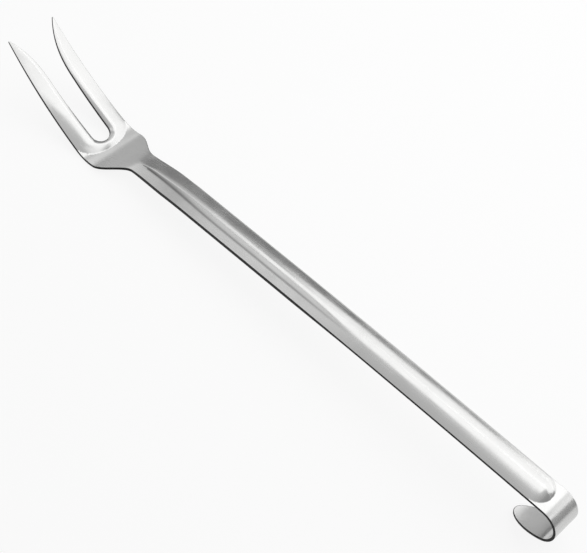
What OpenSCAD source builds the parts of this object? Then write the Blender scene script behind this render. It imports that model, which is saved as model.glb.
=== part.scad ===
// A two-tine carving fork with a hanging hook, pressed and bent from one strip of steel sheet.
// It lies on a table as it would at rest, on its heel and on the tip of its hook.
// +X runs from the tines to the hook, +Y to the right-hand tine, and +Z up from the table.
// The nodes are stretches of that one strip, cut square to it and touching face to face.

/* [Sheet] */
// Thickness of the steel
sheet_t = 2; // [1.5:0.1:3]
// Thickness that the tines are ground down to at their points
tip_t = 1.2; // [0.8:0.1:1.5]

/* [Handle] */
// Width of the handle strip
strip_w = 24; // [20:0.5:28]
// Length of the flat stretch beside the hook
flat_len = 5; // [2:0.5:15]
// Length of the gently bowed half, next to the hook
bow_len = 241; // [200:1:300]
// How far the bowed half turns, in degrees
bow_turn = 2.2; // [1:0.1:5]
// Length of the straight half
straight_len = 68; // [60:1:140]
// Length over which the handle dips toward the neck
dip_len = 53; // [40:1:80]
// How far the dip turns, in degrees
dip_turn = 7.3; // [4:0.1:9]
// Depth of the turned-down edge in the neck half, below the sheet
lip_h = 1; // [0.4:0.1:1.4]
// Width of the turned-down edge
lip_w = 1.6; // [1.2:0.1:2.4]

/* [Crown] */
// Height of the crown above its roots in the neck half
crown_h = 2.2; // [1:0.1:3]
// Height of the crown at the hook end, where it spans the strip
wide_crown_h = 3.8; // [2:0.1:5]
// Half the crown's width in the neck half
crown_r = 5; // [4:0.1:7]
// Half the crown's width at the hook end
wide_crown_r = 10.4; // [8:0.1:11.5]
// Height of the crown's roots above the strip's edges, in the neck half
flange_h = 2.2; // [1:0.1:3]
// Length of the crown's rounded end by the hook
crown_end_len = 10; // [8:0.5:20]
// Length of the crown's rounded end by the neck
crown_start_len = 14; // [8:0.5:24]
// Distance from the hook's bend at which the crown starts to narrow
narrow_from = 155; // [100:1:200]
// Length over which the crown narrows
narrow_len = 65; // [40:1:100]

/* [Head] */
// Width of the neck, where the handle meets the head
neck_w = 21.4; // [18:0.1:24]
// Length over which the strip narrows to the neck
narrowing_len = 32; // [20:1:50]
// Radius of the bend that takes the neck down to the head
neck_bend_r = 25; // [20:1:40]
// Angle of that bend
neck_turn = 11.5; // [8:0.5:16]
// Length of the flat stretch between that bend and the heel
throat_len = 20; // [14:0.5:30]
// Width across the shoulders
shoulder_w = 46.4; // [40:0.2:56]
// Length over which the neck widens to the shoulders
shoulder_len = 28; // [20:0.5:34]
// Radius of the heel, on its upper face
heel_r = 26; // [22:1:40]
// Angle that the heel turns the sheet up by
heel_turn = 43; // [36:1:52]
// Distance from the end of the heel's bend to the centre of the crotch
crotch_gap = 2.3; // [0:0.1:6]
// Radius of the crotch between the tines
crotch_r = 7.5; // [5:0.1:9]

/* [Tines] */
// Length of the tines past the heel's bend, along their curve
tine_len = 89; // [70:1:110]
// Angle that the tines curve up by
tine_turn = 17; // [8:0.5:24]
// Width across the two points
points_w = 40.8; // [34:0.2:50]
// How much half the gap widens from the crotch to where the points begin
gap_flare = 0.9; // [0:0.1:2.5]
// Length of the curved cut that brings each tine to a point
point_len = 45; // [25:1:50]
// Width left at the very point
point_w = 0.6; // [0.4:0.1:1.2]
// Power of the curve of that cut, where 1 would be a straight cut
point_curve = 2.7; // [1.6:0.1:3]
// Height of the arch across each tine
arch_h = 1.5; // [0.8:0.1:2.4]
// Width of the sloping rim of that arch, which also runs round the crotch
rim_w = 7; // [5:0.1:9]
// Length over which the arch rises out of the flat head
arch_len = 12; // [8:0.5:20]

/* [Hook] */
// Radius inside the hook, which hangs on a rail of just under twice this size
hook_r = 12.5; // [9:0.5:18]
// Angle of the hook's round bend
hook_turn = 149.5; // [125:0.5:165]
// Radius of the outer face of the hook's nearly straight leg
leg_r = 88; // [60:1:140]
// Length of that leg, along its outer face
leg_len = 28.9; // [20:0.1:40]

/* [Hidden] */

steel = "silver";
arc_faces = 96;
past = 1;                          // how far a cutting tool runs past what it cuts

// Stretches of the strip from the hook's bend to the points: length and upward turn
function arc_len(r, turn) = r * turn * PI / 180;
neck_bend_len = arc_len(neck_bend_r, neck_turn);
heel_len = arc_len(heel_r, heel_turn);
STRETCHES = [
    [flat_len, 0],
    [bow_len, -bow_turn],
    [straight_len, 0],
    [dip_len, -dip_turn],
    [neck_bend_len, -neck_turn],
    [throat_len, 0],
    [heel_len, heel_turn],
    [tine_len, tine_turn]
];

// Stations along the strip, measured from the hook's bend
neck_at = flat_len + bow_len + straight_len + dip_len;
heel_at = neck_at + neck_bend_len + throat_len;
tines_at = heel_at + heel_len;
points_at = tines_at + tine_len;
shoulders_at = neck_at + shoulder_len;
crotch_at = tines_at + crotch_gap;
arch_at = crotch_at - crotch_r - rim_w;
cut_at = points_at - point_len;

// Walking along the strip: p is [x, z, heading], and the heading is upward from -X
function walk(p, len, turn) =
    let (half = turn / 2)
    let (chord = turn == 0 ? len : len * sin(half) / (half * PI / 180))
    let (way = p[2] + half)
    [p[0] - chord * cos(way), p[1] + chord * sin(way), p[2] + turn];
function along(s, i = 0, p = [0, 0, bow_turn]) =
    let (len = STRETCHES[i][0])
    let (turn = STRETCHES[i][1])
    s <= len || i == len(STRETCHES) - 1
        ? walk(p, s, turn * s / len)
        : along(s - len, i + 1, walk(p, len, turn));

// A point of the sheet at station s, y across the strip and n above its edge line
function on(p, y, n) = [p[0] + n * sin(p[2]), y, p[1] + n * cos(p[2])];

function clamp01(t) = min(1, max(0, t));
function ease(t) = let (c = clamp01(t)) c * c * (3 - 2 * c);
function mix(a, b, t) = a + (b - a) * t;

// Outline: half the width to the outer edge, and half the gap between the tines
function half_w(s) =
    s > shoulders_at ? mix(shoulder_w, points_w, (s - shoulders_at) / (points_at - shoulders_at)) / 2
    : s > neck_at ? mix(neck_w, shoulder_w, ease((s - neck_at) / shoulder_len)) / 2
    : mix(strip_w, neck_w, ease((s - neck_at + narrowing_len) / narrowing_len)) / 2;
function half_gap(s) =
    let (plain = crotch_r + gap_flare * clamp01((s - crotch_at) / (cut_at - crotch_at)))
    mix(plain, points_w / 2 - point_w, pow(clamp01((s - cut_at) / point_len), point_curve));

// Rise of the crown and of the sloping flanges beside it
function wide(s) = 1 - ease((s - narrow_from) / narrow_len);
function root(s) = mix(crown_r, wide_crown_r, wide(s));
function crown_end(s) =
    max(clamp01((s - neck_at + crown_start_len) / crown_start_len),
        clamp01((flat_len + crown_end_len - s) / crown_end_len));
function crown(s, y) =
    mix(crown_h, wide_crown_h, wide(s)) * cos(90 * min(1, norm([y / root(s), crown_end(s)])));
function levelling(s) = ease((s - neck_at + crown_start_len) / (2 * crown_start_len));
function flange(s, y) =
    flange_h * (1 - wide(s)) * (1 - levelling(s)) * clamp01((half_w(s) - abs(y)) / (half_w(s) - root(s)));
function lip(s, y) =
    lip_h * (1 - wide(s)) * (1 - levelling(s)) * clamp01(1 - (half_w(s) - abs(y)) / lip_w);

// Rise of the arch of the tines, which falls to all their edges and runs round the crotch
function rim(d) = 1 - pow(1 - clamp01(d / rim_w), 2);
function to_gap(s, y) = s > crotch_at ? abs(y) - half_gap(s) : norm([s - crotch_at, y]) - crotch_r;
function arch(s, y) =
    arch_h * ease((s - arch_at) / arch_len) * rim(half_w(s) - abs(y)) * rim(to_gap(s, y));

function rise(s, y) = crown(s, y) + flange(s, y) + arch(s, y);
function thick(s, y) = mix(sheet_t, tip_t, clamp01((s - cut_at) / point_len)) + lip(s, y);

// One closed section of the sheet from y0 to y1: over its upper face and back below
function section(s, y0, y1, steps) =
    let (p = along(s))
    let (ys = [for (j = [0 : steps]) mix(y0, y1, j / steps)])
    let (tops = [for (y = ys) rise(s, y)])
    concat([for (j = [0 : steps]) on(p, ys[j], tops[j])],
           [for (j = [steps : -1 : 0]) on(p, ys[j], tops[j] - thick(s, ys[j]))]);

// Stations from one place to another, in steps of about the size asked for
function stations(from, to, step) =
    let (count = ceil((to - from) / step))
    [for (i = [0 : count - 1]) mix(from, to, i / count)];

// A solid through a row of sections that all have the same number of points
module through(rows) {
    m = len(rows[0]);
    last = len(rows) - 1;
    skin = [for (i = [0 : last - 1], j = [0 : m - 1], half = [0, 1])
        let (a = i * m + j)
        let (b = i * m + (j + 1) % m)
        half == 0 ? [a, b + m, a + m] : [a, b, b + m]];
    caps = [for (j = [0 : m / 2 - 2], end = [0, 1], half = [0, 1])
        let (a = end * last * m + j)
        let (b = end * last * m + m - 1 - j)
        let (face = half == 0 ? [a, b, a + 1] : [a + 1, b, b - 1])
        end == 0 ? face : [face[0], face[2], face[1]]];
    polyhedron(points = [for (r = rows, p = r) p], faces = concat(skin, caps));
}

// Headings and centres of the hook's two arcs, each measured from straight up toward +X
outer_r = hook_r + sheet_t;
bend_x = -outer_r * sin(bow_turn);
bend_z = -outer_r * cos(bow_turn);
leg_from = bow_turn + hook_turn;
leg_x = bend_x + (outer_r - leg_r) * sin(leg_from);
leg_z = bend_z + (outer_r - leg_r) * cos(leg_from);
leg_turn = leg_len / leg_r * 180 / PI;
tip_x = leg_x + leg_r * sin(leg_from + leg_turn);
tip_z = leg_z + leg_r * cos(leg_from + leg_turn);
furthest_x = bend_x + outer_r;

// Lying down: the turn that brings the heel and the hook's tip to one floor
heel = along(heel_at);
heel_x = heel[0] + heel_r * sin(heel[2]);
heel_z = heel[1] + heel_r * cos(heel[2]);
aside = heel_x - tip_x;
above = heel_z - tip_z;
lie = 180 - asin((heel_r + sheet_t) / norm([aside, above])) - atan2(above, aside);
function lain_x(x, z) = x * cos(lie) - z * sin(lie);
floor_z = tip_x * sin(lie) + tip_z * cos(lie);
point_end = on(along(points_at), 0, -tip_t);
least_x = lain_x(point_end[0], point_end[2]);
most_x = lain_x(bend_x, bend_z) + outer_r;

module lie_down() {
    translate([-(least_x + most_x) / 2, 0, -floor_z])
        rotate([0, -lie, 0])
            children();
}

module tine(side) {
    steps = 8;
    shank = stations(crotch_at, cut_at, 6);
    point = stations(cut_at, points_at, 3);
    rows = [for (s = concat(shank, point, [points_at]))
        side > 0 ? section(s, half_gap(s), half_w(s), steps) : section(s, -half_w(s), -half_gap(s), steps)];
    color(steel) lie_down() through(rows);
}

module left_tine() tine(-1);

module right_tine() tine(1);

module head() {
    steps = 22;
    row_gap = 2.2;
    rows = [for (s = concat(stations(neck_at, crotch_at, row_gap), [crotch_at]))
        section(s, -half_w(s), half_w(s), steps)];
    crotch = along(crotch_at);
    color(steel) lie_down() difference() {
        through(rows);
        // the round end of the gap, cut square to the sheet where the tines begin
        translate([crotch[0], 0, crotch[1]])
            rotate([0, crotch[2], 0])
                cylinder(h = 2 * (arch_h + sheet_t + past), r = crotch_r, center = true, $fn = arc_faces);
    }
}

module handle() {
    steps = 20;
    by_hook = stations(flat_len, flat_len + crown_end_len, 1.5);
    middle = stations(flat_len + crown_end_len, neck_at - 2 * crown_start_len, 9);
    by_neck = stations(neck_at - 2 * crown_start_len, neck_at, 2);
    rows = [for (s = concat(by_hook, middle, by_neck, [neck_at])) section(s, -half_w(s), half_w(s), steps)];
    color(steel) lie_down() through(rows);
}

// An arc of the strip about a centre: from one heading on, through a turn
module bent(x, z, r, from, turn) {
    translate([x, 0, z])
        rotate([90, 0, 0])
            rotate([0, 0, 90 - from - turn])
                rotate_extrude(angle = turn, $fn = 2 * arc_faces)
                    translate([r - sheet_t, -strip_w / 2])
                        square([sheet_t, strip_w]);
}

// All that lies outside the hook's long rounded tip, seen from above
module beside_tip() {
    steps = 48;
    reach = furthest_x - tip_x;
    tongue = [for (i = [0 : steps])
        let (turn = 90 + 180 * i / steps)
        [furthest_x + reach * cos(turn), strip_w / 2 * sin(turn)]];
    translate([0, 0, tip_z - past])
        linear_extrude(bend_z - tip_z + past)
            difference() {
                translate([tip_x - 2 * past, -strip_w / 2 - past])
                    square([reach + 2 * past, strip_w + 2 * past]);
                polygon(tongue);
            }
}

module hanging_hook() {
    color(steel) lie_down() difference() {
        union() {
            rotate([0, bow_turn, 0])
                translate([-flat_len, -strip_w / 2, -sheet_t])
                    cube([flat_len, strip_w, sheet_t]);
            bent(bend_x, bend_z, outer_r, bow_turn, hook_turn);
            bent(leg_x, leg_z, leg_r, leg_from, leg_turn);
        }
        beside_tip();
    }
}

left_tine();
right_tine();
head();
handle();
hanging_hook();
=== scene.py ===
"""A two-tine carving fork with a hanging hook, pressed from one strip of polished steel.

The fork is one sheet. A flat blank is made as a grid, its edge is rolled round, and the blank is
then pressed and bent: every point of it has a station s along the strip, a place y across it and a
depth n below its upper face, and Sheet turns these into its place on the finished fork.
"""

import math

import bmesh
import bpy
import numpy as np
from bpy.props import FloatProperty, FloatVectorProperty, PointerProperty
from mathutils import Matrix, Vector


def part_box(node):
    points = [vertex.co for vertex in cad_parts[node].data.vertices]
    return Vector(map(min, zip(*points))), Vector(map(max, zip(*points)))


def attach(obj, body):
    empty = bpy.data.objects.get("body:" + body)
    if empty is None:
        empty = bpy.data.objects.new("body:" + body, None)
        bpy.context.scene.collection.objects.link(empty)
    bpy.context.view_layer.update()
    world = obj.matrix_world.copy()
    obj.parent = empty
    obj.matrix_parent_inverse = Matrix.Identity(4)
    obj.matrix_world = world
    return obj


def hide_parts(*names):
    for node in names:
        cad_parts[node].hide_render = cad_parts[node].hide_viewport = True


bl_info = {
    "name": "Carving fork",
    "version": (1, 0, 0),
    "blender": (4, 5, 0),
    "location": "3D View > Sidebar > Fork",
    "description": "Builds a pressed steel carving fork, its finishes and a plain studio",
    "category": "Add Mesh",
}

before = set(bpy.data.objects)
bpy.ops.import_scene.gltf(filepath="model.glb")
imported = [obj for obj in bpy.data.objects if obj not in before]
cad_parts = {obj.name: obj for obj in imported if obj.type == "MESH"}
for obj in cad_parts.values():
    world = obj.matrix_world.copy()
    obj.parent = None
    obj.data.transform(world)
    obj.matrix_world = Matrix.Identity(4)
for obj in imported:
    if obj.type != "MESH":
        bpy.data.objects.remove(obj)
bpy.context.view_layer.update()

# Counts of the blank's grid: columns from the middle to the gap's edge and to the outer edge
GAP_COLUMNS = 10
HALF_COLUMNS = 24
ROUND_STEPS = 3
# Past this turn of the rolled edge, faces take the near-black cut edge colour: a duller cut finish, and painted
# shade as well
EDGE_PAINTED_SHADE_FROM = math.radians(30.0)
PATH_STEP = 0.00025
SOFT_BEND = 0.002

# How squarely the crown's ends are rounded, and how the ridge round the crotch falls outward
END_SQUARE = 2.0
RIDGE_FALL = 1.5
SLOPE_STEP = 0.00005


def length(name, description, metres):
    """A length that the user can change."""
    return FloatProperty(name=name, description=description, default=metres, precision=5, unit="LENGTH")


def angle(name, description, degrees):
    """An angle that the user can change."""
    return FloatProperty(name=name, description=description, default=math.radians(degrees), subtype="ANGLE")


def amount(name, description, value):
    """A plain number that the user can change."""
    return FloatProperty(name=name, description=description, default=value, precision=3)


def colour(name, description, red, green, blue):
    """A colour that the user can change."""
    return FloatVectorProperty(name=name, description=description, default=(red, green, blue),
                               subtype="COLOR", size=3, min=0.0, max=1.0)


class ForkSizes(bpy.types.PropertyGroup):
    """Real sizes of the fork, in metres and radians."""

    sheet_t: length("Sheet", "Thickness of the steel", 0.002)
    tip_t: length("Point sheet", "Thickness that the points are ground to", 0.0012)
    edge_r: length("Edge radius", "Radius of the tumbled edges", 0.00045)
    point_edge_r: length("Point edge radius", "Radius of the edges at the points", 0.00025)

    strip_w: length("Strip width", "Width of the handle strip", 0.024)
    flat_len: length("Flat", "Length of the flat stretch beside the hook", 0.005)
    bow_len: length("Bowed half", "Length of the gently bowed half of the handle", 0.241)
    bow_turn: angle("Bow", "How far the bowed half turns", 2.2)
    straight_len: length("Straight half", "Length of the straight half of the handle", 0.068)
    dip_len: length("Dip", "Length over which the handle dips toward the neck", 0.053)
    dip_turn: angle("Dip angle", "How far the dip turns", 7.3)
    lip_h: length("Lip depth", "Depth of the turned-down edge in the neck half", 0.001)
    lip_w: length("Lip width", "Width of the turned-down edge", 0.0016)

    crown_h: length("Crown height", "Height of the crown in the neck half", 0.0019)
    wide_crown_h: length("Wide crown height", "Height of the crown at the hook end", 0.0038)
    crown_r: length("Crown half width", "Half the crown's width in the neck half", 0.0056)
    neck_crown_r: length("Neck crown half width", "Half the crown's width where it starts by the neck", 0.0036)
    neck_crown_h: length("Neck crown height", "Height of the crown where it starts by the neck", 0.0012)
    crown_taper: length("Crown taper", "Length over which the crown narrows toward the neck", 0.080)
    wide_crown_r: length("Wide crown half width", "Half the crown's width at the hook end", 0.0117)
    flange_h: length("Flange height", "Height of the crown's roots in the neck half", 0.0020)
    crown_end_at: length("Crown's end", "Distance from the hook's bend to the crown's end", 0.0016)
    crown_end_len: length("Crown's hook end", "Length of the crown's rounded end by the hook", 0.0115)
    crown_end_edge: amount("Crown's end edge", "How much steeper the crown drops at its end by the hook", 0.8)
    crown_start_len: length("Crown's neck end", "Length of the crown's rounded end by the neck", 0.014)
    ridge_round: length("Ridge round", "How wide the crown's ridge is rounded toward its smooth right side", 0.004)
    neck_ridge_round: length("Neck ridge round", "How wide that ridge is rounded by the neck", 0.0015)
    ridge_lean: length("Ridge lean", "How far the ridge lies left of the middle by the neck", 0.0021)
    roll_h: length("Edge roll", "How far the strip's right edge is rolled down by the shears", 0.0003)
    roll_w: length("Edge roll width", "Width of the strip's rolled right edge", 0.0022)
    roll_end_at: length("Edge roll's end", "Distance from the neck's bend to the end of the rolled edge", 0.020)
    # Half width of the painted shade line in the crease at the crown's left root, which halves the steel's colour
    # there
    painted_root_shade_w: length("Root line", "Half width of the dull line in the crown's roots", 0.0007)
    narrow_from: length("Narrowing from", "Distance from the bend at which the crown narrows", 0.155)
    narrow_len: length("Narrowing", "Length over which the crown narrows", 0.065)

    neck_w: length("Neck width", "Width of the neck", 0.0214)
    narrowing_len: length("Strip narrowing", "Length over which the strip narrows to the neck", 0.032)
    neck_bend_r: length("Neck bend", "Radius of the bend down to the head", 0.025)
    neck_turn: angle("Neck angle", "Angle of the bend down to the head", 11.5)
    throat_len: length("Throat", "Length of the flat stretch between neck and heel", 0.020)
    shoulder_w: length("Shoulders", "Width across the shoulders", 0.04638)
    shoulder_len: length("Shoulder length", "Length over which the neck widens", 0.028)
    heel_r: length("Heel radius", "Radius of the heel on its upper face", 0.026)
    heel_turn: angle("Heel angle", "Angle that the heel turns the sheet up by", 43.0)
    crotch_gap: length("Crotch from heel", "Distance from the heel's bend to the crotch's centre", 0.0023)
    crotch_r: length("Crotch radius", "Radius of the crotch between the tines", 0.0075)

    tine_len: length("Tine length", "Length of the tines past the heel's bend", 0.089)
    tine_turn: angle("Tine curve", "Angle that the tines curve up by", 17.0)
    points_w: length("Across points", "Width across the two points", 0.0408)
    gap_flare: length("Gap flare", "How much half the gap widens toward the points", 0.0009)
    point_len: length("Point length", "Length of the curved cut at each point", 0.045)
    point_w: length("Point width", "Width left at the very point", 0.0006)
    point_curve: amount("Point curve", "Power of the curve of the point's cut", 2.7)
    arch_h: length("Arch height", "Height of the arch across each tine", 0.0015)
    heel_arch: amount("Heel arch", "How much higher the arch is where the tines leave the head", 1.0)
    heel_arch_len: length("Heel arch length", "Length over which the arch falls to its plain height", 0.050)
    ridge_at: length("Ridge before the crotch", "Distance from the crotch's centre to the ridge round it", 0.0100)
    ridge_foot: length("Ridge's foot", "Distance from the crotch's centre to the foot of that ridge", 0.0146)
    ridge_share: amount("Ridge across", "Where the ridge lies between a tine's middle line and its outer edge", 0.5)
    rim_w: length("Arch rim", "Width of the arch's steep side, round the crotch and the gap", 0.0045)
    rim_rise: amount("Rim rise", "Share of the arch's height that its steep side rises by", 0.5)
    arch_len: length("Arch rise", "Length over which the arch rises out of the head", 0.012)

    hook_r: length("Hook radius", "Radius inside the hook", 0.0125)
    hook_turn: angle("Hook angle", "Angle of the hook's round bend", 149.5)
    leg_r: length("Leg radius", "Radius of the outer face of the hook's leg", 0.088)
    leg_len: length("Leg length", "Length of the hook's leg", 0.0289)


class ForkFinish(bpy.types.PropertyGroup):
    """Colours and finishes of the steel."""

    steel: colour("Steel", "Colour of the polished steel", 0.62, 0.62, 0.615)
    steel_rough: amount("Steel roughness", "Roughness of the polished faces", 0.20)
    # The cut edge's near-black colour is partly a duller cut finish and partly painted shade on the sheet's sides
    # and outer rounding
    cut_edge_painted_shade: colour("Cut edge", "Colour of the dull cut edge", 0.02, 0.02, 0.02)
    cut_edge_rough: amount("Cut edge roughness", "Roughness of the cut edge", 0.42)
    marks: amount("Drawing marks", "Strength of the drawing marks", 0.35)
    paper: colour("Paper", "Colour of the floor", 0.90, 0.90, 0.90)
    paper_white: amount("Paper white", "How far the camera sees the paper as pure white", 0.85)


def ease(t):
    """From 0 to 1 with level ends."""
    t = np.clip(t, 0.0, 1.0)
    return t * t * (3.0 - 2.0 * t)


def mix(a, b, t):
    """Between a and b."""
    return a + (b - a) * t


def rounded(a, b):
    """How far out a point lies whose shares along and across are a and b, in a squarely rounded outline."""
    return (np.abs(a) ** END_SQUARE + np.abs(b) ** END_SQUARE) ** (1.0 / END_SQUARE)


class Sheet:
    """Where every point of the flat blank lies on the finished fork."""

    def __init__(self, size):
        self.size = size
        outer_r = size.hook_r + size.sheet_t
        bend_len = outer_r * size.hook_turn
        stretches = [
            (size.leg_len, -size.leg_len / size.leg_r),
            (bend_len, -size.hook_turn),
            (size.flat_len, 0.0),
            (size.bow_len, -size.bow_turn),
            (size.straight_len, 0.0),
            (size.dip_len, -size.dip_turn),
            (size.neck_bend_r * size.neck_turn, -size.neck_turn),
            (size.throat_len, 0.0),
            (size.heel_r * size.heel_turn, size.heel_turn),
            (size.tine_len, size.tine_turn),
        ]
        self.tongue_at = -(size.leg_len + bend_len)
        self.neck_at = size.flat_len + size.bow_len + size.straight_len + size.dip_len
        tines_at = self.neck_at + sum(stretch[0] for stretch in stretches[6:9])
        self.points_at = tines_at + size.tine_len
        self.shoulders_at = self.neck_at + size.shoulder_len
        self.crotch_at = tines_at + size.crotch_gap
        self.arch_at = self.crotch_at - size.crotch_r - size.rim_w
        self.cut_at = self.points_at - size.point_len
        self._walk(stretches, size.bow_turn + size.hook_turn + size.leg_len / size.leg_r)
        self._lie_down()

    def _walk(self, stretches, heading):
        """Follows the strip from the tongue's tip to the points, in steps, with softened bends."""
        count = int((self.points_at - self.tongue_at) / PATH_STEP) + 1
        self.path_s = np.linspace(self.tongue_at, self.points_at, count)
        step = self.path_s[1] - self.path_s[0]
        lengths, turns = np.array(stretches).T
        ends = self.tongue_at + np.concatenate([[0.0], np.cumsum(lengths)])
        headings = heading + np.concatenate([[0.0], np.cumsum(turns)])
        shifts = np.linspace(-SOFT_BEND, SOFT_BEND, 9)
        self.path_heading = np.mean([np.interp(self.path_s + shift, ends, headings) for shift in shifts], axis=0)
        away = -np.cos(self.path_heading)
        up = np.sin(self.path_heading)
        self.path_x = np.concatenate([[0.0], np.cumsum((away[1:] + away[:-1]) / 2 * step)])
        self.path_z = np.concatenate([[0.0], np.cumsum((up[1:] + up[:-1]) / 2 * step)])
        far = int(np.argmax(self.path_x))
        self.far_at = self.path_s[far]
        self.far_x = self.path_x[far]
        self.reach = self.far_x - self.path_x[0]

    def _lie_down(self):
        """Turns the fork until its heel and the tip of its hook touch one floor."""
        under_x = self.path_x - self.size.sheet_t * np.sin(self.path_heading)
        under_z = self.path_z - self.size.sheet_t * np.cos(self.path_heading)
        head = self.path_s > self.neck_at
        self.lie = 0.0
        for _ in range(6):
            heights = under_x * math.sin(self.lie) + under_z * math.cos(self.lie)
            heel = np.flatnonzero(head)[np.argmin(heights[head])]
            tip_height = self.path_x[0] * math.sin(self.lie) + self.path_z[0] * math.cos(self.lie)
            self.lie += (heights[heel] - tip_height) / (self.path_x[0] - under_x[heel])
        self.floor = self.path_x[0] * math.sin(self.lie) + self.path_z[0] * math.cos(self.lie)
        laid_x = self.path_x * math.cos(self.lie) - self.path_z * math.sin(self.lie)
        self.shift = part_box("hanging_hook")[1][0] - float(laid_x.max())

    def half_w(self, s):
        """Half the width to the outer edge, short of the tongue."""
        size = self.size
        strip = mix(size.strip_w, size.neck_w, ease((s - self.neck_at) / size.narrowing_len + 1.0))
        neck = mix(size.neck_w, size.shoulder_w, ease((s - self.neck_at) / size.shoulder_len))
        tines = mix(size.shoulder_w, size.points_w,
                    (s - self.shoulders_at) / (self.points_at - self.shoulders_at))
        return np.where(s > self.shoulders_at, tines, np.where(s > self.neck_at, neck, strip)) / 2

    def half_gap(self, s):
        """Half the gap between the tines."""
        size = self.size
        plain = size.crotch_r + size.gap_flare * np.clip(
            (s - self.crotch_at) / (self.cut_at - self.crotch_at), 0.0, 1.0)
        cut = np.clip((s - self.cut_at) / size.point_len, 0.0, 1.0) ** size.point_curve
        return mix(plain, size.points_w / 2 - size.point_w, cut)

    def edge_r(self, s):
        """Radius of the tumbled edge, which is finer at the points."""
        size = self.size
        return mix(size.point_edge_r, size.edge_r, np.clip((self.points_at - s) / size.point_len, 0.0, 1.0))

    def root(self, s):
        """Half the crown's width in the neck half."""
        size = self.size
        return mix(size.crown_r, size.neck_crown_r, ease((s - self.neck_at) / size.crown_taper + 1.0))

    def rise(self, s, y):
        """Height of the upper face over the strip's edge line: crown, flanges and tine arches."""
        size = self.size
        wide = 1.0 - ease((s - size.narrow_from) / size.narrow_len)
        taper = ease((s - self.neck_at) / size.crown_taper + 1.0)
        by_neck = (s - self.neck_at + size.crown_start_len) / size.crown_start_len
        by_hook = np.clip((size.crown_end_at + size.crown_end_len - s) / size.crown_end_len, 0.0, 1.0)
        far = np.minimum(1.0, rounded(y / size.wide_crown_r, by_hook))
        far = far ** (1.0 + size.crown_end_edge * (by_hook / np.maximum(far, 1e-6)) ** 2)
        wide_crown = size.wide_crown_h * np.cos(np.pi / 2 * far)
        half = self.half_w(s)
        root = self.root(s)
        start = np.clip(by_neck, 0.0, 1.0)
        height = mix(size.crown_h, size.neck_crown_h, taper)
        lean = size.ridge_lean * taper
        crown = height * np.cos(np.pi / 2 * np.minimum(1.0, rounded((y + lean) / (root - lean), start)))
        flange = size.flange_h * (1.0 - ease(by_neck / 2))
        left = crown + flange * np.minimum(1.0, (half - np.abs(y)) / (half - root))
        bend = mix(size.ridge_round, size.neck_ridge_round, taper)
        away = (np.hypot(y + lean, bend) - bend) / (np.hypot(half + lean, bend) - bend)
        right = (height * np.cos(np.pi / 2 * start) + flange) * (1.0 - away)
        pressed = mix(np.where(y > -lean, right, left), wide_crown, wide)
        rolled = size.roll_h * np.clip(1.0 - (half - y) / size.roll_w, 0.0, 1.0) ** 2
        to_roll_end = (self.neck_at - size.roll_end_at - s) / size.crown_start_len
        pressed -= rolled * ease(s / size.crown_end_len) * ease(to_roll_end)
        before = np.maximum(0.0, self.crotch_at - s)
        to_gap = np.where(s > self.crotch_at, np.abs(y) - self.half_gap(s), np.hypot(before, y) - size.crotch_r)
        rim = 1.0 - size.rim_rise * (1.0 - np.clip(to_gap / size.rim_w, 0.0, 1.0)) ** 2
        across = np.abs(y) / half
        to_ridge = np.hypot(before / size.ridge_at, across / size.ridge_share)
        to_foot = np.hypot(before / size.ridge_foot, across)
        fall = np.clip(to_foot * (to_ridge - 1.0) / np.maximum(to_ridge - to_foot, 1e-9), 0.0, 1.0)
        high = 1.0 + size.heel_arch * (1.0 - ease((s - self.crotch_at) / size.heel_arch_len))
        arch = size.arch_h * high * rim * (1.0 - fall ** RIDGE_FALL)
        return pressed + np.where(s > self.neck_at, arch, 0.0)

    def painted_root_shade(self, s, y):
        """How dark the painted shade in the crease at a point is: 1 in the root left of the neck half's crown, else
        0.
        """
        size = self.size
        line = np.exp(-(((y + self.root(s)) / size.painted_root_shade_w) ** 2))
        along = ease((s - size.narrow_from) / size.narrow_len)
        along *= 1.0 - ease((s - self.neck_at + size.crown_start_len) / size.crown_start_len)
        return line * along

    def thick(self, s, y):
        """Thickness of the sheet, with the lip of the neck half and the ground points."""
        size = self.size
        narrow = ease((s - size.narrow_from) / size.narrow_len)
        levelling = ease((s - self.neck_at + size.crown_start_len) / (2 * size.crown_start_len))
        edge = np.clip(1.0 - (self.half_w(s) - np.abs(y)) / size.lip_w, 0.0, 1.0)
        ground = np.clip((s - self.cut_at) / size.point_len, 0.0, 1.0)
        return mix(size.sheet_t, size.tip_t, ground) + size.lip_h * narrow * (1.0 - levelling) * edge

    def place(self, flat):
        """Places of the blank's points, given as rows of station, place across and depth."""
        s, y, n = flat.T
        half_t = self.size.sheet_t / 2
        depth = np.where(n > -half_t, -n, self.thick(s, y) - self.size.sheet_t - n)
        over = self.rise(s, y) - depth
        heading = np.interp(s, self.path_s, self.path_heading)
        x = np.interp(s, self.path_s, self.path_x) + over * np.sin(heading)
        z = np.interp(s, self.path_s, self.path_z) + over * np.cos(heading)
        past = np.maximum(0.0, s - self.points_at) - np.maximum(0.0, self.tongue_at - s)
        x -= past * np.cos(heading)
        z += past * np.sin(heading)
        laid_x = x * math.cos(self.lie) - z * math.sin(self.lie) + self.shift
        laid_z = x * math.sin(self.lie) + z * math.cos(self.lie) - self.floor
        return np.column_stack([laid_x, y, laid_z])

    def normals(self, flat, facing):
        """True normals on the fork of the blank's points, which face as given on the blank."""
        slopes = []
        for axis in range(3):
            step = np.zeros(3)
            step[axis] = SLOPE_STEP
            slopes.append(self.place(flat + step) - self.place(flat - step))
        along, across, out = slopes
        turned = (facing[:, :1] * np.cross(across, out) + facing[:, 1:2] * np.cross(out, along)
                  + facing[:, 2:] * np.cross(along, across))
        turned *= -1.0
        return turned / np.linalg.norm(turned, axis=1, keepdims=True)


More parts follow.
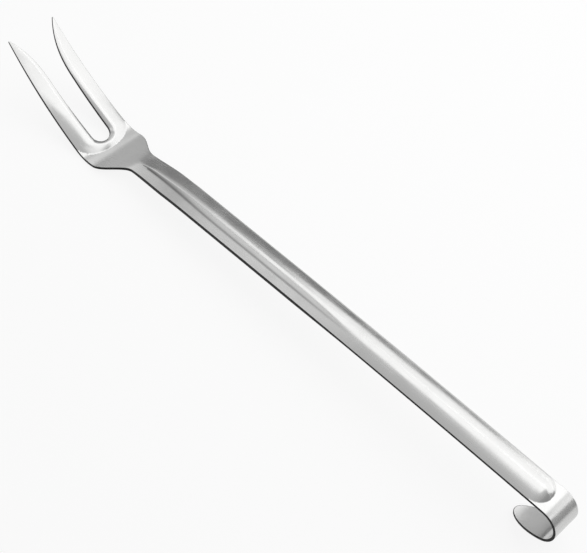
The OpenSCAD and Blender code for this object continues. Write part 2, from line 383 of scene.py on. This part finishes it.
def stations(start, end, step):
    """Even stations from start up to, and without, end."""
    return list(np.linspace(start, end, max(2, math.ceil((end - start) / step)) + 1)[:-1])


def coons(low, high, left, right, u, w):
    """A point of the patch between two rows and two columns; u and w run from 0 to 1."""
    rows = mix(low(u), high(u), w)
    columns = mix(left(w), right(w), u)
    corners = mix(mix(low(0.0), low(1.0), u), mix(high(0.0), high(1.0), u), w)
    return rows + columns - corners


class Blank:
    """The flat blank: its outline, its grid of rows and columns, and its rolled edge."""

    def __init__(self, sheet):
        size = sheet.size
        self.sheet = sheet
        self.tongue_end = math.radians(50.0)
        self.tongue_start = math.radians(80.0)
        self.tongue_rows = 36
        self.crotch_rows = 22
        near = sheet.path_s <= sheet.far_at
        self.tongue_s = sheet.path_s[near]
        self.tongue_x = sheet.path_x[near]
        self.patch_at = self.tongue_point(1.0, 0.0)[0]
        crown_to = size.crown_end_at + size.crown_end_len + 0.002
        fine_from = sheet.neck_at - 2 * size.crown_start_len
        self.straight = (
            stations(self.patch_at, 0.0, 0.00075)
            + stations(0.0, size.flat_len, 0.0004)
            + stations(size.flat_len, crown_to, 0.0005)
            + stations(crown_to, fine_from, 0.002)
            + stations(fine_from, sheet.neck_at, 0.0008)
            + stations(sheet.neck_at, sheet.shoulders_at, 0.0009)
        )
        self.tines = (
            stations(sheet.crotch_at, sheet.cut_at, 0.0013)[1:]
            + stations(sheet.cut_at, sheet.points_at - size.point_edge_r, 0.0009)
            + [sheet.points_at - size.point_edge_r]
        )
        self.crotch_from = self.tongue_rows + len(self.straight)
        self.crotch_row = self.crotch_from + self.crotch_rows
        self.rows = self.crotch_row + len(self.tines) + 1

    def tongue_point(self, side, turn):
        """A point on the tongue's rounded outline: turn is 0 where the tongue starts and 1 near its tip."""
        size = self.sheet.size
        round_by = mix(self.tongue_start, self.tongue_end, turn) * side
        x = self.sheet.far_x - (self.sheet.reach - size.edge_r) * math.cos(round_by)
        s = float(np.interp(x, self.tongue_x, self.tongue_s))
        return np.array([s, (size.strip_w / 2 - size.edge_r) * math.sin(round_by)])

    def half_row(self, s):
        """Half the width of a straight row, inside the rolled edge."""
        size = self.sheet.size
        if s >= self.sheet.far_at:
            return float(self.sheet.half_w(s) - self.sheet.edge_r(s))
        x = float(np.interp(s, self.tongue_s, self.tongue_x))
        part = (self.sheet.far_x - x) / (self.sheet.reach - size.edge_r)
        return (size.strip_w / 2 - size.edge_r) * math.sqrt(1.0 - part * part)

    def across(self, s, u):
        """A point on a straight row, from one side to the other."""
        half = self.half_row(s)
        return np.array([s, mix(-half, half, u)])

    def tine_point(self, s, column):
        """A point on a row of the tines."""
        part = (abs(column) - GAP_COLUMNS) / (HALF_COLUMNS - GAP_COLUMNS)
        edge = float(self.sheet.edge_r(s))
        inner = float(self.sheet.half_gap(s)) + edge
        outer = float(self.sheet.half_w(s)) - edge
        return np.array([s, math.copysign(mix(inner, outer, part), column)])

    def crotch_point(self, u):
        """A point on the row that runs round the crotch and straight out to both edges."""
        column = (2.0 * u - 1.0) * HALF_COLUMNS
        if abs(column) > GAP_COLUMNS:
            return self.tine_point(self.sheet.crotch_at, column)
        turn = math.pi / 2 * column / GAP_COLUMNS
        radius = self.sheet.size.crotch_r + float(self.sheet.edge_r(self.sheet.crotch_at))
        return np.array([self.sheet.crotch_at - radius * math.cos(turn), radius * math.sin(turn)])

    def row_points(self, row):
        """Stations and places across of one row's points, all from one side to the other."""
        columns = np.arange(-HALF_COLUMNS, HALF_COLUMNS + 1)
        sides = (columns / HALF_COLUMNS + 1.0) / 2
        if row < self.tongue_rows:
            return self.patch(
                lambda u: self.across(self.patch_at, u), lambda u: self.tongue_point(2.0 * u - 1.0, 1.0),
                lambda w: self.tongue_point(-1.0, w), lambda w: self.tongue_point(1.0, w),
                sides, 1.0 - row / self.tongue_rows)
        if row < self.crotch_from:
            s = self.straight[row - self.tongue_rows]
            half = self.half_row(s)
            return np.column_stack([np.full(len(sides), s), mix(-half, half, sides)])
        if row <= self.crotch_row:
            start = self.sheet.shoulders_at
            end = self.sheet.crotch_at
            return self.patch(
                lambda u: self.across(start, u), self.crotch_point,
                lambda w: self.across(mix(start, end, w), 0.0), lambda w: self.across(mix(start, end, w), 1.0),
                sides, (row - self.crotch_from) / self.crotch_rows)
        s = self.tines[row - self.crotch_row - 1]
        return np.array([self.tine_point(s, column if column else 1) for column in columns])

    @staticmethod
    def patch(low, high, left, right, sides, w):
        """One row of a patch between two rows and two sides."""
        return np.array([coons(low, high, left, right, u, w) for u in sides])

    def cut(self):
        """The blank's upper face as a flat grid, without the gap between the tines."""
        bm = bmesh.new()
        bmesh.ops.create_grid(bm, x_segments=self.rows - 1, y_segments=2 * HALF_COLUMNS, size=1.0)
        grid = {}
        for vert in bm.verts:
            row = round((vert.co.x + 1.0) / 2 * (self.rows - 1))
            column = round((vert.co.y + 1.0) * HALF_COLUMNS) - HALF_COLUMNS
            grid[vert] = (row, column)
        gap = []
        for face in bm.faces:
            rows = [grid[vert][0] for vert in face.verts]
            columns = [abs(grid[vert][1]) for vert in face.verts]
            if min(rows) >= self.crotch_row and max(columns) <= GAP_COLUMNS:
                gap.append(face)
        bmesh.ops.delete(bm, geom=gap, context="FACES")
        places = [self.row_points(row) for row in range(self.rows)]
        for vert in bm.verts:
            row, column = grid[vert]
            s, y = places[row][column + HALF_COLUMNS]
            vert.co = (s, y, 0.0)
        return bm

    def shell(self):
        """The flat blank as a closed shell with a rolled edge, and the layer that holds its facings."""
        bm = self.cut()
        sheet_t = self.sheet.size.sheet_t
        facing = bm.verts.layers.float_vector.new("facing")
        edge_faces = bm.faces.layers.int.new("edge_face")
        for vert in bm.verts:
            vert[facing] = (0.0, 0.0, 1.0)
        upper = list(bm.faces)
        ring = {vert: (vert.co.copy(), outward(vert)) for vert in bm.verts if vert.is_boundary}
        turns = [math.pi / 2 * step / ROUND_STEPS for step in range(ROUND_STEPS + 1)]
        rounds = [(turn, False) for turn in turns[1:]] + [(turn, True) for turn in reversed(turns)]
        for turn, below in rounds:
            edges = [edge for edge in bm.edges if edge.is_boundary]
            made = bmesh.ops.extrude_edge_only(bm, edges=edges)["geom"]
            new_ring = {}
            for vert in made:
                if not isinstance(vert, bmesh.types.BMVert):
                    continue
                start = next(edge.other_vert(vert) for edge in vert.link_edges
                             if edge.other_vert(vert) in ring)
                base, out = ring[start]
                radius = float(self.sheet.edge_r(base.x))
                drop = radius * (1.0 - math.cos(turn))
                vert.co = base + out * (radius * math.sin(turn))
                vert.co.z = drop - sheet_t if below else -drop
                level = -math.cos(turn) if below else math.cos(turn)
                vert[facing] = out * math.sin(turn) + Vector((0.0, 0.0, level))
                new_ring[vert] = (base, out)
            for face in {face for vert in new_ring for face in vert.link_faces}:
                if all(vert in new_ring or vert in ring for vert in face.verts):
                    # The sides, the lower rounding and the upper rounding past that turn take the near-black cut
                    # edge colour, which is partly painted shade
                    face[edge_faces] = 1 if below or turn > EDGE_PAINTED_SHADE_FROM else 0
            ring = new_ring
        copied = bmesh.ops.duplicate(bm, geom=upper)["geom"]
        under = [item for item in copied if isinstance(item, bmesh.types.BMFace)]
        bmesh.ops.reverse_faces(bm, faces=under)
        for vert in {vert for face in under for vert in face.verts}:
            vert.co.z = -sheet_t
            vert[facing] = (0.0, 0.0, -1.0)
        bmesh.ops.remove_doubles(bm, verts=[vert for vert in bm.verts if vert.co.z < -0.9 * sheet_t], dist=1e-7)
        return bm


def outward(vert):
    """The direction in which a flat sheet ends at this vertex of its outline."""
    total = Vector((0.0, 0.0, 0.0))
    for edge in vert.link_edges:
        if not edge.is_boundary:
            continue
        along = edge.verts[1].co - edge.verts[0].co
        away = Vector((along.y, -along.x, 0.0)).normalized()
        middle = (edge.verts[0].co + edge.verts[1].co) / 2
        inside = edge.link_faces[0].calc_center_median() - middle
        total += -away if away.dot(inside) > 0 else away
    return total.normalized()


# Which stretch of the strip each piece is, from one station to another, and on which side
def stretch_of(name, sheet):
    """Lowest and highest station of a piece, and its side: -1 left, 1 right, 0 both."""
    flat_end = sheet.size.flat_len
    return {
        "hanging_hook": (-math.inf, flat_end, 0),
        "handle": (flat_end, sheet.neck_at, 0),
        "head": (sheet.neck_at, sheet.crotch_at, 0),
        "left_tine": (sheet.crotch_at, math.inf, -1),
        "right_tine": (sheet.crotch_at, math.inf, 1),
    }[name]


def press(size, name):
    """One piece of the fork: its stretch of the blank, pressed and bent, closed where it is cut."""
    sheet = Sheet(size)
    bm = Blank(sheet).shell()
    low, high, side = stretch_of(name, sheet)
    others = []
    for face in bm.faces:
        middle = face.calc_center_median()
        inside = low < middle.x < high and middle.y * side >= 0
        if not inside:
            others.append(face)
    bmesh.ops.delete(bm, geom=others, context="FACES")
    uv = bm.loops.layers.uv.new("Strip")
    cut_face = bm.faces.layers.int.new("cut_face")
    under_by = 0.06
    for face in bm.faces:
        lowered = face.calc_center_median().z < -0.6 * size.sheet_t
        for loop in face.loops:
            flat = loop.vert.co
            loop[uv].uv = (flat.x, flat.y + (under_by if lowered else 0.0) + flat.z)
    facing = bm.verts.layers.float_vector["facing"]
    bm.verts.ensure_lookup_table()
    flats = np.array([vert.co for vert in bm.verts], dtype=float)
    facings = np.array([vert[facing] for vert in bm.verts], dtype=float)
    true_normals = sheet.normals(flats, facings)
    # Painted shade in the crown's root crease, kept on the vertices for the steel's colour
    painted_root_shade = bm.verts.layers.float.new("painted_root_shade")
    for vert, value in zip(bm.verts, sheet.painted_root_shade(flats[:, 0], flats[:, 1])):
        vert[painted_root_shade] = value
    for vert, place in zip(bm.verts, sheet.place(flats)):
        vert.co = place
    for vert, normal in zip(bm.verts, true_normals):
        vert[facing] = normal
    ends = bmesh.ops.holes_fill(bm, edges=[edge for edge in bm.edges if edge.is_boundary], sides=0)["faces"]
    for face in ends:
        face[cut_face] = 1
    bmesh.ops.recalc_face_normals(bm, faces=bm.faces)
    return bm


def piece_from(bm, name):
    """Makes the object of a piece, with its true normals, and puts it in the place of its CAD node."""
    facing = bm.verts.layers.float_vector["facing"]
    cut_face = bm.faces.layers.int["cut_face"]
    edge_face = bm.faces.layers.int["edge_face"]
    normals = []
    for face in bm.faces:
        face.smooth = True
        # Edge faces take the second material, the near-black cut edge with its painted shade
        face.material_index = face[edge_face]
        for loop in face.loops:
            normals.append(tuple(face.normal if face[cut_face] else loop.vert[facing]))
    mesh = bpy.data.meshes.new("pressed_" + name)
    bm.to_mesh(mesh)
    bm.free()
    mesh.normals_split_custom_set(normals)
    for layer in ("facing", "edge_face", "cut_face"):
        mesh.attributes.remove(mesh.attributes[layer])
    piece = bpy.data.objects.new("pressed_" + name, mesh)
    bpy.context.scene.collection.objects.link(piece)
    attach(piece, "root")
    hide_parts(name)
    return piece


def new_group(name, inputs, outputs):
    """An empty shader node group with its sockets, and its input and output nodes."""
    group = bpy.data.node_groups.new(name, "ShaderNodeTree")
    for socket_name, kind, default in inputs:
        socket = group.interface.new_socket(socket_name, in_out="INPUT", socket_type=kind)
        if default is not None:
            socket.default_value = default
    for socket_name, kind in outputs:
        group.interface.new_socket(socket_name, in_out="OUTPUT", socket_type=kind)
    return group, group.nodes.new("NodeGroupInput"), group.nodes.new("NodeGroupOutput")


def stretched_noise(group, vector, scale_x, scale_y, detail):
    """A noise texture in a group, squeezed differently along and across the strip."""
    scale = group.nodes.new("ShaderNodeCombineXYZ")
    stretch = group.nodes.new("ShaderNodeVectorMath")
    stretch.operation = "MULTIPLY"
    noise = group.nodes.new("ShaderNodeTexNoise")
    noise.inputs["Scale"].default_value = 1.0
    noise.inputs["Detail"].default_value = detail
    for index, value in enumerate((scale_x, scale_y)):
        if isinstance(value, float):
            scale.inputs[index].default_value = value
        else:
            group.links.new(value, scale.inputs[index])
    group.links.new(vector, stretch.inputs[0])
    group.links.new(scale.outputs[0], stretch.inputs[1])
    group.links.new(stretch.outputs[0], noise.inputs["Vector"])
    return noise.outputs["Fac"]


def drawing_marks_group():
    """Fine polishing lines along the strip, with a few deeper ones among them."""
    name = "Drawing marks"
    if name in bpy.data.node_groups:
        return bpy.data.node_groups[name]
    group, entry, leave = new_group(
        name,
        [("Strip", "NodeSocketVector", None), ("Along", "NodeSocketFloat", 60.0),
         ("Across", "NodeSocketFloat", 4000.0)],
        [("Lines", "NodeSocketFloat"), ("Scratches", "NodeSocketFloat")])
    strip = entry.outputs["Strip"]
    fine = stretched_noise(group, strip, entry.outputs["Along"], entry.outputs["Across"], 2.0)
    coarse = stretched_noise(group, strip, 25.0, 900.0, 3.0)
    both = group.nodes.new("ShaderNodeMath")
    both.operation = "MULTIPLY_ADD"
    both.inputs[1].default_value = 0.6
    group.links.new(fine, both.inputs[0])
    part = group.nodes.new("ShaderNodeMath")
    part.operation = "MULTIPLY"
    part.inputs[1].default_value = 0.4
    group.links.new(coarse, part.inputs[0])
    group.links.new(part.outputs[0], both.inputs[2])
    group.links.new(both.outputs[0], leave.inputs["Lines"])
    rare = stretched_noise(group, strip, 18.0, 1500.0, 1.0)
    keep = group.nodes.new("ShaderNodeMapRange")
    keep.inputs["From Min"].default_value = 0.66
    keep.inputs["From Max"].default_value = 0.74
    group.links.new(rare, keep.inputs["Value"])
    group.links.new(keep.outputs[0], leave.inputs["Scratches"])
    return group


def handling_group():
    """Soft clouds of wear and handling, which dull a polished face unevenly."""
    name = "Handling wear"
    if name in bpy.data.node_groups:
        return bpy.data.node_groups[name]
    group, entry, leave = new_group(
        name,
        [("Place", "NodeSocketVector", None), ("Clouds", "NodeSocketFloat", 45.0)],
        [("Wear", "NodeSocketFloat"), ("Waves", "NodeSocketFloat")])
    clouds = group.nodes.new("ShaderNodeTexNoise")
    clouds.inputs["Detail"].default_value = 4.0
    clouds.inputs["Roughness"].default_value = 0.6
    group.links.new(entry.outputs["Place"], clouds.inputs["Vector"])
    group.links.new(entry.outputs["Clouds"], clouds.inputs["Scale"])
    spread = group.nodes.new("ShaderNodeMapRange")
    spread.inputs["From Min"].default_value = 0.35
    spread.inputs["From Max"].default_value = 0.68
    group.links.new(clouds.outputs["Fac"], spread.inputs["Value"])
    group.links.new(spread.outputs[0], leave.inputs["Wear"])
    waves = group.nodes.new("ShaderNodeTexNoise")
    waves.inputs["Scale"].default_value = 90.0
    waves.inputs["Detail"].default_value = 0.0
    group.links.new(entry.outputs["Place"], waves.inputs["Vector"])
    group.links.new(waves.outputs["Fac"], leave.inputs["Waves"])
    return group


def place_group(tree, group, **values):
    """A group node with its own values."""
    node = tree.nodes.new("ShaderNodeGroup")
    node.node_tree = group
    for name, value in values.items():
        node.inputs[name].default_value = value
    return node


def remap(tree, value, low, high):
    """A value from 0 to 1, spread between two others."""
    node = tree.nodes.new("ShaderNodeMapRange")
    node.inputs["To Min"].default_value = low
    node.inputs["To Max"].default_value = high
    tree.links.new(value, node.inputs["Value"])
    return node.outputs[0]


def steel_material(name, finish, along, across, dull):
    """Polished stainless steel with drawing marks along the strip and uneven wear."""
    material = bpy.data.materials.new(name)
    material.use_nodes = True
    tree = material.node_tree
    shader = tree.nodes["Principled BSDF"]
    shader.inputs["Metallic"].default_value = 1.0
    strip = tree.nodes.new("ShaderNodeUVMap")
    strip.uv_map = "Strip"
    place = tree.nodes.new("ShaderNodeTexCoord").outputs["Object"]
    marks = place_group(tree, drawing_marks_group(), Along=along, Across=across)
    tree.links.new(strip.outputs[0], marks.inputs["Strip"])
    wear = place_group(tree, handling_group(), Clouds=45.0)
    tree.links.new(place, wear.inputs["Place"])

    shade = tree.nodes.new("ShaderNodeMix")
    shade.data_type = "RGBA"
    steel = list(finish.steel)
    shade.inputs["A"].default_value = [part * 0.93 for part in steel] + [1.0]
    shade.inputs["B"].default_value = steel + [1.0]
    tree.links.new(remap(tree, marks.outputs["Lines"], 0.1, 1.2), shade.inputs["Factor"])
    # Painted shade: the steel's colour is halved along the crease at the crown's left root
    painted_root_shade = tree.nodes.new("ShaderNodeAttribute")
    painted_root_shade.attribute_name = "painted_root_shade"
    root_shade_darkened = tree.nodes.new("ShaderNodeMix")
    root_shade_darkened.data_type = "RGBA"
    root_shade_darkened.inputs["B"].default_value = [part * 0.5 for part in steel] + [1.0]
    tree.links.new(painted_root_shade.outputs["Fac"], root_shade_darkened.inputs["Factor"])
    tree.links.new(shade.outputs["Result"], root_shade_darkened.inputs["A"])
    tree.links.new(root_shade_darkened.outputs["Result"], shader.inputs["Base Color"])

    rough = tree.nodes.new("ShaderNodeMath")
    rough.operation = "MULTIPLY_ADD"
    rough.inputs[1].default_value = 0.10
    tree.links.new(wear.outputs["Wear"], rough.inputs[0])
    low = finish.steel_rough + dull - 0.05
    tree.links.new(remap(tree, marks.outputs["Lines"], low, low + 0.10), rough.inputs[2])
    scratched = tree.nodes.new("ShaderNodeMath")
    scratched.operation = "MULTIPLY_ADD"
    scratched.inputs[1].default_value = 0.12
    tree.links.new(marks.outputs["Scratches"], scratched.inputs[0])
    tree.links.new(rough.outputs[0], scratched.inputs[2])
    tree.links.new(scratched.outputs[0], shader.inputs["Roughness"])

    ripple = tree.nodes.new("ShaderNodeBump")
    ripple.inputs["Strength"].default_value = 0.5
    ripple.inputs["Distance"].default_value = 0.00006
    tree.links.new(wear.outputs["Waves"], ripple.inputs["Height"])
    lines = tree.nodes.new("ShaderNodeBump")
    lines.inputs["Strength"].default_value = finish.marks
    lines.inputs["Distance"].default_value = 0.00001
    tree.links.new(marks.outputs["Lines"], lines.inputs["Height"])
    tree.links.new(ripple.outputs[0], lines.inputs["Normal"])
    tree.links.new(lines.outputs[0], shader.inputs["Normal"])
    return material


def cut_edge_painted_shade_material(finish):
    """The dull edge that the shears left, with its short lines across the sheet, in a near-black colour that is
    partly painted shade.
    """
    name = "dull_cut_edge_painted_shade"
    if name in bpy.data.materials:
        return bpy.data.materials[name]
    material = bpy.data.materials.new(name)
    material.use_nodes = True
    tree = material.node_tree
    shader = tree.nodes["Principled BSDF"]
    shader.inputs["Metallic"].default_value = 1.0
    strip = tree.nodes.new("ShaderNodeUVMap")
    strip.uv_map = "Strip"
    marks = place_group(tree, drawing_marks_group(), Along=3000.0, Across=200.0)
    tree.links.new(strip.outputs[0], marks.inputs["Strip"])
    shade = tree.nodes.new("ShaderNodeMix")
    shade.data_type = "RGBA"
    # Painted shade: the near-black cut edge colour, varied by the marks' lines
    edge = list(finish.cut_edge_painted_shade)
    shade.inputs["A"].default_value = [part * 0.7 for part in edge] + [1.0]
    shade.inputs["B"].default_value = [part * 1.3 for part in edge] + [1.0]
    tree.links.new(marks.outputs["Lines"], shade.inputs["Factor"])
    tree.links.new(shade.outputs["Result"], shader.inputs["Base Color"])
    low = finish.cut_edge_rough
    tree.links.new(remap(tree, marks.outputs["Lines"], low - 0.08, low + 0.10), shader.inputs["Roughness"])
    bump = tree.nodes.new("ShaderNodeBump")
    bump.inputs["Strength"].default_value = 0.3
    bump.inputs["Distance"].default_value = 0.00002
    tree.links.new(marks.outputs["Lines"], bump.inputs["Height"])
    tree.links.new(bump.outputs[0], shader.inputs["Normal"])
    return material


def add_piece(name, material_name, along, across, dull):
    """Presses a piece, gives it its two finishes and returns it."""
    finish = bpy.context.scene.fork_finish
    piece = piece_from(press(bpy.context.scene.fork_sizes, name), name)
    material = bpy.data.materials.get(material_name)
    if material is None:
        material = steel_material(material_name, finish, along, across, dull)
    piece.data.materials.append(material)
    piece.data.materials.append(cut_edge_painted_shade_material(finish))
    return piece


class FORK_OT_tines(bpy.types.Operator):
    """Add the two curved and pointed tines"""

    bl_idname = "fork.tines"
    bl_label = "Tines"

    def execute(self, context):
        for name in ("left_tine", "right_tine"):
            add_piece(name, "ground_steel", 150.0, 3500.0, -0.03)
        return {"FINISHED"}


class FORK_OT_head(bpy.types.Operator):
    """Add the flat head with its shoulders and crotch"""

    bl_idname = "fork.head"
    bl_label = "Head"

    def execute(self, context):
        add_piece("head", "ground_steel", 150.0, 3500.0, -0.03)
        return {"FINISHED"}


class FORK_OT_handle(bpy.types.Operator):
    """Add the long handle with its pressed crown"""

    bl_idname = "fork.handle"
    bl_label = "Handle"

    def execute(self, context):
        add_piece("handle", "drawn_steel", 60.0, 4000.0, 0.0)
        return {"FINISHED"}


class FORK_OT_hook(bpy.types.Operator):
    """Add the hanging hook with its rounded tongue"""

    bl_idname = "fork.hook"
    bl_label = "Hook"

    def execute(self, context):
        add_piece("hanging_hook", "drawn_steel", 60.0, 4000.0, 0.0)
        return {"FINISHED"}


# The photograph's camera: where it stands, what it looks at, how it is turned and how far it reaches
CAMERA_PLACE = Vector((0.3351, -0.5514, 0.8740))
CAMERA_AIM = Vector((0.0079, 0.0077, 0.0200))
CAMERA_ROLL = math.radians(16.56)
PHOTO_WIDTH_PX = 587
FOCAL_LENGTH_PX = 1600
SENSOR_MM = 36.0


def add_camera():
    """The camera at the photograph's angle."""
    data = bpy.data.cameras.new("studio_camera")
    data.sensor_width = SENSOR_MM
    data.sensor_fit = "HORIZONTAL"
    data.lens = SENSOR_MM * FOCAL_LENGTH_PX / PHOTO_WIDTH_PX
    camera = bpy.data.objects.new("studio_camera", data)
    bpy.context.scene.collection.objects.link(camera)
    look = (CAMERA_AIM - CAMERA_PLACE).to_track_quat("-Z", "Y").to_matrix().to_4x4()
    camera.matrix_world = Matrix.Translation(CAMERA_PLACE) @ look @ Matrix.Rotation(CAMERA_ROLL, 4, "Z")
    bpy.context.scene.camera = camera


# The studio's own light: sine of the elevation, and brightness there
SKY = ((0.0, 0.20), (0.22, 0.25), (0.42, 0.38), (0.70, 0.42), (0.85, 0.64), (1.0, 0.75))


def add_lamp(name, place, aim, width, depth, radiance):
    """A rectangular soft lamp, as bright as given over its whole face."""
    data = bpy.data.lights.new(name, "AREA")
    data.shape = "RECTANGLE"
    data.size = width
    data.size_y = depth
    data.energy = radiance * math.pi * width * depth
    lamp = bpy.data.objects.new(name, data)
    lamp.location = place
    lamp.rotation_euler = (Vector(aim) - Vector(place)).to_track_quat("-Z", "Y").to_euler()
    bpy.context.scene.collection.objects.link(lamp)
    return lamp


def paper_material(finish):
    """Matt pale paper: the camera and the steel see it whiter than it is, but with the fork's shadow."""
    material = bpy.data.materials.new("studio_paper")
    material.use_nodes = True
    tree = material.node_tree
    shader = tree.nodes["Principled BSDF"]
    shader.inputs["Base Color"].default_value = list(finish.paper) + [1.0]
    shader.inputs["Roughness"].default_value = 0.9
    shader.inputs["Specular IOR Level"].default_value = 0.0
    path = tree.nodes.new("ShaderNodeLightPath")
    seen = None
    for kind in ("Is Camera Ray", "Is Glossy Ray", "Is Transmission Ray"):
        if seen is None:
            seen = path.outputs[kind]
            continue
        add = tree.nodes.new("ShaderNodeMath")
        add.operation = "ADD"
        add.use_clamp = True
        tree.links.new(seen, add.inputs[0])
        tree.links.new(path.outputs[kind], add.inputs[1])
        seen = add.outputs[0]
    part = tree.nodes.new("ShaderNodeMath")
    part.operation = "MULTIPLY"
    part.inputs[1].default_value = finish.paper_white
    tree.links.new(seen, part.inputs[0])
    glow = tree.nodes.new("ShaderNodeEmission")
    mixed = tree.nodes.new("ShaderNodeMixShader")
    tree.links.new(part.outputs[0], mixed.inputs["Fac"])
    tree.links.new(shader.outputs[0], mixed.inputs[1])
    tree.links.new(glow.outputs[0], mixed.inputs[2])
    tree.links.new(mixed.outputs[0], tree.nodes["Material Output"].inputs["Surface"])
    return material


def add_floor(finish):
    """The plain pale floor."""
    bm = bmesh.new()
    bmesh.ops.create_grid(bm, x_segments=1, y_segments=1, size=16.0)
    mesh = bpy.data.meshes.new("studio_floor")
    bm.to_mesh(mesh)
    bm.free()
    floor = bpy.data.objects.new("studio_floor", mesh)
    bpy.context.scene.collection.objects.link(floor)
    mesh.materials.append(paper_material(finish))


def add_world():
    """Soft light from all round, brighter above than at the horizon."""
    world = bpy.data.worlds.new("studio_world")
    world.use_nodes = True
    tree = world.node_tree
    background = tree.nodes["Background"]
    place = tree.nodes.new("ShaderNodeTexCoord").outputs["Generated"]
    split = tree.nodes.new("ShaderNodeSeparateXYZ")
    tree.links.new(place, split.inputs[0])
    ramp = tree.nodes.new("ShaderNodeValToRGB")
    while len(ramp.color_ramp.elements) < len(SKY):
        ramp.color_ramp.elements.new(0.5)
    for element, (sine, level) in zip(ramp.color_ramp.elements, SKY):
        element.position = sine
        element.color = (level, level, level, 1.0)
    tree.links.new(split.outputs["Z"], ramp.inputs["Fac"])
    tree.links.new(ramp.outputs["Color"], background.inputs["Color"])
    bpy.context.scene.world = world


# Each soft lamp: name, place, aim, width, depth and brightness
LAMPS = (
    ("softbox", (0.415, 0.74, 0.52), (0.415, 0.0, 0.02), 1.07, 0.72, 1.15),
    ("high_softbox", (-0.245, 0.70, 0.55), (-0.245, 0.0, 0.02), 0.25, 0.56, 1.05),
    ("low_softbox", (0.365, 0.80, 0.12), (0.365, 0.0, 0.03), 0.62, 0.20, 1.25),
    ("top_light", (-0.03, 0.22, 0.60), (-0.03, 0.22, 0.0), 0.70, 0.40, 0.90),
    ("near_top_light", (0.1825, -0.035, 0.60), (0.1825, -0.035, 0.0), 0.275, 0.11, 0.60),
    ("left_light", (-0.86, 0.20, 0.38), (-0.10, 0.0, 0.02), 0.56, 0.80, 0.40),
    ("back_left_light", (-0.53, 0.36, 0.50), (-0.02, 0.0, 0.02), 0.45, 0.48, 0.30),
    ("front_light", (-0.31, -0.22, 0.60), (-0.31, -0.22, 0.0), 0.22, 0.35, 0.40),
    ("hook_light", (1.00, 0.52, 0.26), (0.25, 0.0, 0.03), 0.50, 0.44, 0.15),
)


class FORK_OT_stage(bpy.types.Operator):
    """Add the floor, the soft lamps, the world and the camera"""

    bl_idname = "fork.stage"
    bl_label = "Studio"

    def execute(self, context):
        add_camera()
        add_floor(context.scene.fork_finish)
        add_world()
        for name, place, aim, width, depth, radiance in LAMPS:
            add_lamp(name, place, aim, width, depth, radiance)
        context.scene.view_settings.view_transform = "Standard"
        return {"FINISHED"}


class FORK_PT_panel(bpy.types.Panel):
    """Lists the fork's pieces, sizes and finishes"""

    bl_idname = "FORK_PT_panel"
    bl_label = "Carving fork"
    bl_space_type = "VIEW_3D"
    bl_region_type = "UI"
    bl_category = "Fork"

    def draw(self, context):
        for operator in OPERATORS:
            self.layout.operator(operator.bl_idname)
        for group in (context.scene.fork_sizes, context.scene.fork_finish):
            box = self.layout.box()
            for name in group.__annotations__:
                box.prop(group, name)


OPERATORS = (FORK_OT_tines, FORK_OT_head, FORK_OT_handle, FORK_OT_hook, FORK_OT_stage)
CLASSES = (ForkSizes, ForkFinish) + OPERATORS + (FORK_PT_panel,)


def register():
    for each in CLASSES:
        bpy.utils.register_class(each)
    bpy.types.Scene.fork_sizes = PointerProperty(type=ForkSizes)
    bpy.types.Scene.fork_finish = PointerProperty(type=ForkFinish)


def unregister():
    del bpy.types.Scene.fork_finish
    del bpy.types.Scene.fork_sizes
    for each in reversed(CLASSES):
        bpy.utils.unregister_class(each)


def main():
    """Builds every piece and the studio."""
    register()
    bpy.ops.fork.tines()
    bpy.ops.fork.head()
    bpy.ops.fork.handle()
    bpy.ops.fork.hook()
    bpy.ops.fork.stage()


if __name__ == "__main__":
    main()
